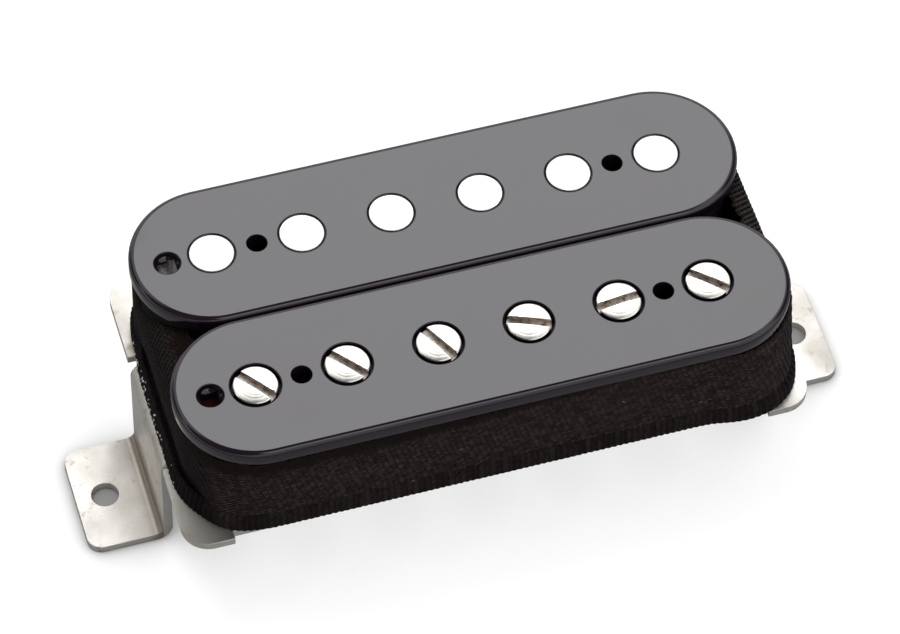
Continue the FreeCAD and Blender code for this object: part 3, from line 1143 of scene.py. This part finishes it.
def wound_coil(name, node, row_y, wire):
    """Winding whose turns show as ridges on its top, side and bottom."""
    low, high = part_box(node)
    half_length = high.x - wrap_thickness
    half_width = (high.y - low.y) / 2 - wrap_thickness
    inner = core_half_width + core_gap
    rows = round((half_width - inner) / wire_pitch)
    layers = round((high.z - low.z) / wire_pitch)
    profile = []
    for row in range(rows * 2 + 1):
        inset = (half_width - inner) * (1 - row / (rows * 2))
        profile.append((inset, high.z - wire_depth * (row % 2)))
    for layer in range(1, layers * 2):
        profile.append((wire_depth * (layer % 2), high.z - (high.z - low.z) * layer / (layers * 2)))
    for row in range(rows * 2 + 1):
        inset = (half_width - inner) * row / (rows * 2)
        profile.append((inset, low.z + wire_depth * (row % 2)))
    bm = bmesh.new()
    loops = stadiums(bm, half_length, half_width, row_y, profile, 24)
    join_loops(bm, [*loops, loops[0]])
    piece = new_object(name, bm, wire)
    stand_for(piece, "pickup", "copper_wire", node)


def softened(name, node, slot_name, radius, material):
    """Copy of a node's own mesh with its sharp edges slightly rounded."""
    bm = bmesh.new()
    bm.from_mesh(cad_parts[node].data)
    bmesh.ops.remove_doubles(bm, verts=bm.verts, dist=0.000002)
    bmesh.ops.dissolve_limit(bm, angle_limit=math.radians(1), verts=bm.verts, edges=bm.edges)
    piece = new_object(name, bm, material)
    bevel = piece.modifiers.new("soft_edges", "BEVEL")
    bevel.width = radius
    bevel.segments = 3
    bevel.angle_limit = math.radians(35)
    keep_flats_flat(piece)
    stand_for(piece, "pickup", slot_name, node)


def add_floor():
    """Pale floor that shows nearly white to the camera but keeps the shadow, which is darkest close
    to the pickup and in the holes of its feet. From below, it lets the pickup be seen."""
    bm = bmesh.new()
    bmesh.ops.create_grid(bm, x_segments=1, y_segments=1, size=4)
    material = bpy.data.materials.new("pale_floor")
    material.use_nodes = True
    tree = material.node_tree
    shader = tree.nodes["Principled BSDF"]
    shader.inputs["Base Color"].default_value = (floor_colour, floor_colour, floor_colour, 1)
    shader.inputs["Roughness"].default_value = 1.0
    shader.inputs["Specular IOR Level"].default_value = 0.0
    open_sky = add_node(tree, "AmbientOcclusion", {"Distance": contact_reach}).outputs["AO"]
    mirrored = vector_node(tree, "ABSOLUTE", place_node(tree))
    from_hole = vector_node(tree, "DISTANCE", mirrored, (foot_hole_x, 0, 0), result="Value")
    lift = spread_node(tree, from_hole, 0.5 * foot_shade_radius, foot_shade_radius, 0, floor_lift)
    lift = math_node(tree, "MULTIPLY", lift, math_node(tree, "MULTIPLY", open_sky, open_sky))
    seen = add_node(tree, "LightPath", {}).outputs["Is Camera Ray"]
    feed(tree, shader.inputs["Emission Strength"], math_node(tree, "MULTIPLY", lift, seen))
    shader.inputs["Emission Color"].default_value = (1, 1, 1, 1)
    see_through = add_node(tree, "BsdfTransparent", {})
    from_below = add_node(tree, "NewGeometry", {}).outputs["Backfacing"]
    shown = add_node(tree, "MixShader", {"Fac": from_below, 1: shader.outputs[0], 2: see_through.outputs[0]})
    tree.links.new(shown.outputs[0], tree.nodes["Material Output"].inputs["Surface"])
    floor = new_object("floor", bm, material)
    if floor.data.polygons[0].normal.z < 0:
        floor.data.flip_normals()


def soft_box(name, azimuth, elevation, distance, width, height, radiance):
    """Area light that faces the pickup."""
    data = bpy.data.lights.new(name, "AREA")
    data.shape = "RECTANGLE"
    data.size = width
    data.size_y = height
    data.energy = radiance * width * height * math.pi
    lamp = place_in_scene(name, data)
    back = towards(azimuth, elevation)
    lamp.location = Vector((0, 0, bobbin_top)) + back * distance
    lamp.rotation_mode = "QUATERNION"
    lamp.rotation_quaternion = back.to_track_quat("Z", "Y")
    return lamp


def add_lights():
    """Soft box behind the pickup, which its tops mirror, and a key light from the rear left."""
    soft_box("rear_box", camera_azimuth + 180, camera_elevation, lamp_distance, lamp_width, lamp_height,
             lamp_radiance)
    key = soft_box("key_box", key_azimuth, key_elevation, key_distance, key_size, key_size, key_radiance)
    key.visible_glossy = False


def add_world():
    """White room with the dark and bright parts that the polished edges mirror."""
    world = bpy.data.worlds.new("white_room")
    bpy.context.scene.world = world
    world.use_nodes = True
    tree = world.node_tree
    background = tree.nodes["Background"]
    direction = add_node(tree, "TexCoord", {}).outputs["Generated"]
    level = room_level
    for azimuth, elevation, radius, soft_edge, patch_level in room_patches:
        near = dot_node(tree, direction, towards(azimuth, elevation))
        outer = math.cos(math.radians(radius + soft_edge))
        inner = math.cos(math.radians(radius - soft_edge))
        level = mix_levels(tree, spread_node(tree, near, outer, inner, 0, 1), level, patch_level)
    seen = add_node(tree, "LightPath", {}).outputs["Is Camera Ray"]
    feed(tree, background.inputs["Strength"], mix_levels(tree, seen, level, 1.0))
    background.inputs["Color"].default_value = (1, 1, 1, 1)


def add_camera():
    back = towards(camera_azimuth, camera_elevation)
    data = bpy.data.cameras.new("camera")
    data.lens = camera_lens
    data.sensor_width = sensor_width
    data.clip_start = 0.01
    camera = place_in_scene("camera", data)
    camera.location = camera_aim + back * camera_distance
    facing = (-back).to_track_quat("-Z", "Y").to_matrix()
    camera.rotation_euler = (facing @ Matrix.Rotation(math.radians(camera_roll), 3, "Z")).to_euler()
    bpy.context.scene.camera = camera


def main():
    random.seed(5)
    plastic = plastic_material()
    wire = wire_material()
    screw_metal = turned_metal("bright_nickel", (0.82, 0.80, 0.75), 0.22, 900.0, 0.000002)
    slug_metal = turned_metal("polished_steel", (0.80, 0.79, 0.77), 0.42, 1500.0, 0.000002)
    brass = turned_metal("plain_brass", (0.78, 0.60, 0.30), 0.22, 900.0, 0.000003)
    slot_shade = slot_material()

    add_bobbins(plastic)
    add_window_wax()
    add_slugs(slug_metal)
    add_pole_screws(screw_metal, slot_shade)
    add_base_screws(brass, slot_shade)
    wound_coil("slug_side_winding", "slug_coil", slug_row_y, wire)
    wound_coil("screw_side_winding", "screw_coil", screw_row_y, wire)
    add_tapes()
    add_lint()
    add_wax_specks()
    softened("bent_baseplate", "baseplate", "nickel_silver", plate_edge, plate_material())
    softened("long_magnet", "bar_magnet", "magnet_alloy", magnet_edge, magnet_material())
    softened("pole_keeper", "keeper_bar", "keeper_steel", keeper_edge, steel_material())
    softened("wood_spacer", "spacer", "maple", spacer_edge, maple_material())

    add_floor()
    add_world()
    add_lights()
    add_camera()
    bpy.context.scene.view_settings.view_transform = "Standard"


main()
